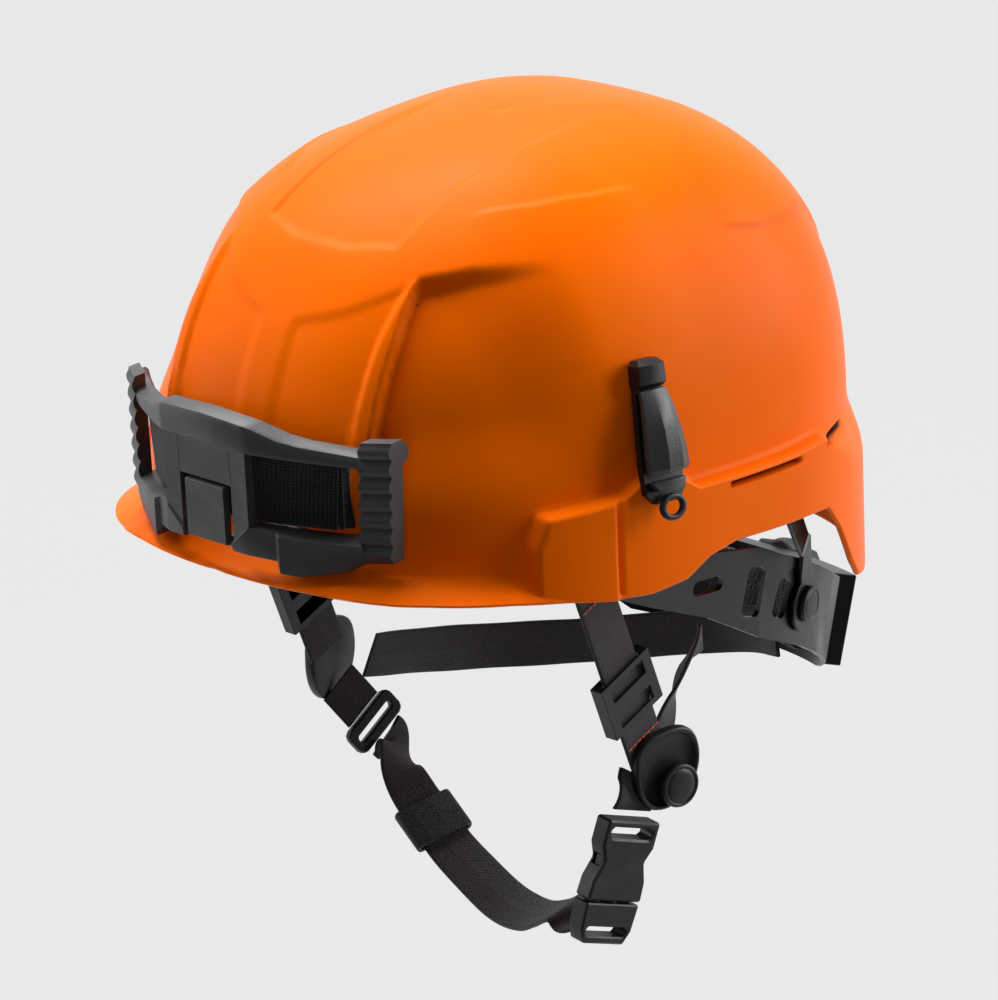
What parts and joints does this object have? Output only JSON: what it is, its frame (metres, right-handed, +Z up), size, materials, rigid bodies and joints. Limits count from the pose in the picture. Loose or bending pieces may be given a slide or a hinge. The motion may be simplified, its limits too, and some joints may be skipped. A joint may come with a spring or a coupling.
{
  "type": "climbing safety helmet",
  "caption": "Orange safety helmet with a ratchet nape cradle, a buckled chin harness, a front lamp bracket and side accessory clips.",
  "frame": {"origin": "centre of the head opening, level with the lowest point of the side rim", "axes": "+Z up, -Y the way the wearer looks, +X the wearer's left"},
  "size_m": [0.2559, 0.337, 0.3273],
  "materials": {
    "orange_shell": "smooth moulded plastic, semi-gloss",
    "liner_foam": "expanded foam with a fine bead texture",
    "black_plastic": "fine moulded texture",
    "grey_plastic": "satin moulded plastic",
    "webbing": "woven strap",
    "elastic": "ribbed woven elastic",
    "pad_fabric": "padded knitted fabric"
  },
  "bodies": {
    "helmet": {"shell": "orange_shell", "impact_liner": "liner_foam", "crown_pad": "pad_fabric", "headband": "black_plastic", "brow_pad": "pad_fabric", "headband_clip_front_left": "black_plastic", "headband_clip_front_right": "black_plastic", "headband_clip_rear_left": "black_plastic", "headband_clip_rear_right": "black_plastic", "lamp_bracket": "grey_plastic", "lamp_strap": "elastic", "clip_base_left": "black_plastic", "clip_base_right": "black_plastic", "front_strap_left": "webbing", "front_strap_right": "webbing", "strap_anchor_left": "black_plastic", "strap_anchor_right": "black_plastic", "divider_left": "grey_plastic", "divider_right": "grey_plastic", "rear_strap_left": "webbing", "rear_strap_right": "webbing", "buckle_female": "grey_plastic", "buckle_strap": "webbing", "chin_link": "webbing", "chin_adjuster": "grey_plastic"},
    "nape": {"nape_cradle": "black_plastic", "ratchet_cover": "black_plastic", "nape_pad": "pad_fabric", "hanger_left": "black_plastic", "hanger_right": "black_plastic", "hanger_rivet_left": "black_plastic", "hanger_rivet_right": "black_plastic"},
    "knob": {"ratchet_knob": "black_plastic", "ratchet_pinion": "grey_plastic"},
    "rack_left": {"band_rack_left": "black_plastic"},
    "rack_right": {"band_rack_right": "black_plastic"},
    "latch": {"lamp_latch": "grey_plastic"},
    "buckle": {"buckle_male": "grey_plastic", "chin_strap": "webbing"},
    "keeper": {"strap_keeper": "black_plastic"},
    "lever_left": {"clip_lever_left": "black_plastic"},
    "cap_left": {"divider_cap_left": "grey_plastic"},
    "glide_left": {"strap_glide_left": "grey_plastic"},
    "lever_right": {"clip_lever_right": "black_plastic"},
    "cap_right": {"divider_cap_right": "grey_plastic"},
    "glide_right": {"strap_glide_right": "grey_plastic"}
  },
  "joints": [
    {"name": "nape_tilt", "type": "hinge", "parent": "helmet", "child": "nape", "pos_m": [0, -0.035, -0.006], "axis": [1, 0, 0], "range_deg": [0, 6]},
    {"name": "knob_turn", "type": "hinge", "parent": "nape", "child": "knob", "pos_m": [0, 0.142, -0.094], "axis": [0, -0.9511, 0.309], "range_deg": [0, 180]},
    {"name": "rack_left_slide", "type": "hinge", "parent": "nape", "child": "rack_left", "pos_m": [0, 0.05165, -0.06464], "axis": [0, 0.309, 0.9511], "range_deg": [0, 9.1]},
    {"name": "rack_right_slide", "type": "hinge", "parent": "nape", "child": "rack_right", "pos_m": [0, 0.05165, -0.06464], "axis": [0, 0.309, 0.9511], "range_deg": [-9.1, 0]},
    {"name": "lever_left_open", "type": "hinge", "parent": "helmet", "child": "lever_left", "pos_m": [0.12105, -0.04521, 0.04955], "axis": [0.1215, 0.9897, -0.0755], "range_deg": [0, 70]},
    {"name": "lever_right_open", "type": "hinge", "parent": "helmet", "child": "lever_right", "pos_m": [-0.12105, -0.04521, 0.04955], "axis": [0.1215, -0.9897, 0.0755], "range_deg": [0, 70]},
    {"name": "cap_left_open", "type": "hinge", "parent": "helmet", "child": "cap_left", "pos_m": [0.0936, -0.015, -0.1065], "axis": [0, 1, 0], "range_deg": [0, 80]},
    {"name": "cap_right_open", "type": "hinge", "parent": "helmet", "child": "cap_right", "pos_m": [-0.0936, -0.015, -0.1065], "axis": [0, -1, 0], "range_deg": [0, 80]},
    {"name": "latch_flex", "type": "hinge", "parent": "helmet", "child": "latch", "pos_m": [0, -0.1606, 0.051], "axis": [-1, 0, 0], "range_deg": [0, 8]},
    {"name": "buckle_release", "type": "slide", "parent": "helmet", "child": "buckle", "axis": [-0.078, -0.3489, -0.9339], "range_m": [0, 0.03]},
    {"name": "keeper_slide", "type": "slide", "parent": "buckle", "child": "keeper", "axis": [-0.8422, 0.1726, 0.5108], "range_m": [-0.002, 0.003]},
    {"name": "glide_left_slide", "type": "slide", "parent": "helmet", "child": "glide_left", "axis": [0, -0.3331, 0.9429], "range_m": [-0.006, 0.012]},
    {"name": "glide_right_slide", "type": "slide", "parent": "helmet", "child": "glide_right", "axis": [0, -0.3331, 0.9429], "range_m": [-0.006, 0.012]}
  ],
  "couplings": [
    {"joint": "rack_left_slide", "follows": "knob_turn", "ratio": 0.050251},
    {"joint": "rack_right_slide", "follows": "knob_turn", "ratio": -0.050251}
  ]
}
